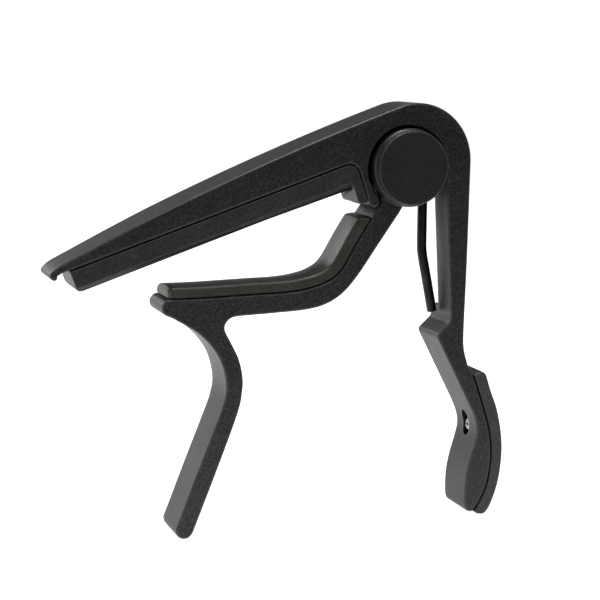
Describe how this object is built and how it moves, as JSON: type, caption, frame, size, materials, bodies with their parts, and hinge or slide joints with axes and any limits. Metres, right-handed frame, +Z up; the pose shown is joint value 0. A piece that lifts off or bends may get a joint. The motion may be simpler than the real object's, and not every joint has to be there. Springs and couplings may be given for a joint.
{
  "type": "guitar capo",
  "caption": "Spring-loaded trigger capo: a padded bar presses the strings, a curved padded jaw grips the neck, and squeezing the lever to the grip opens it.",
  "frame": {"origin": "middle of the footprint, level with the tips of the lever and grip that the capo stands on, at mid depth between the two pivot caps", "axes": "+Z up, +X from the free end of the string bar to the grip, -Y out of the front face; the pivot axis runs along Y"},
  "size_m": [0.0892, 0.0154, 0.0805],
  "materials": {
    "frame_coat": "matt black powder coat on a casting",
    "jaw_coat": "matt black powder coat on a casting",
    "fret_rubber": "dark grey moulded rubber",
    "neck_rubber": "olive grey moulded rubber, semi gloss",
    "cover_rubber": "dark grey soft-touch rubber",
    "screw_zinc": "bright plated steel",
    "spring_steel": "black oiled spring wire",
    "spool_nylon": "natural nylon",
    "pin_steel": "turned steel",
    "clip_steel": "stamped spring steel",
    "cap_plastic": "matt black moulded cap"
  },
  "bodies": {
    "frame": {"frame": "frame_coat", "fret_pad": "fret_rubber", "grip_cover": "cover_rubber", "cover_screw": "screw_zinc", "torsion_spring": "spring_steel", "spring_spool": "spool_nylon", "pivot_pin": "pin_steel", "retaining_clip": "clip_steel", "rear_cap": "cap_plastic"},
    "jaw": {"jaw": "jaw_coat", "neck_pad": "neck_rubber", "front_cap": "cap_plastic"}
  },
  "joints": [
    {"name": "jaw_pivot", "type": "hinge", "parent": "frame", "child": "jaw", "pos_m": [0.02333, 0, 0.0685], "axis": [0, -1, 0], "range_deg": [0, 36], "stiffness_Nm_per_rad": 1.2, "springref_deg": -34.38, "deforming": ["torsion_spring"]}
  ]
}
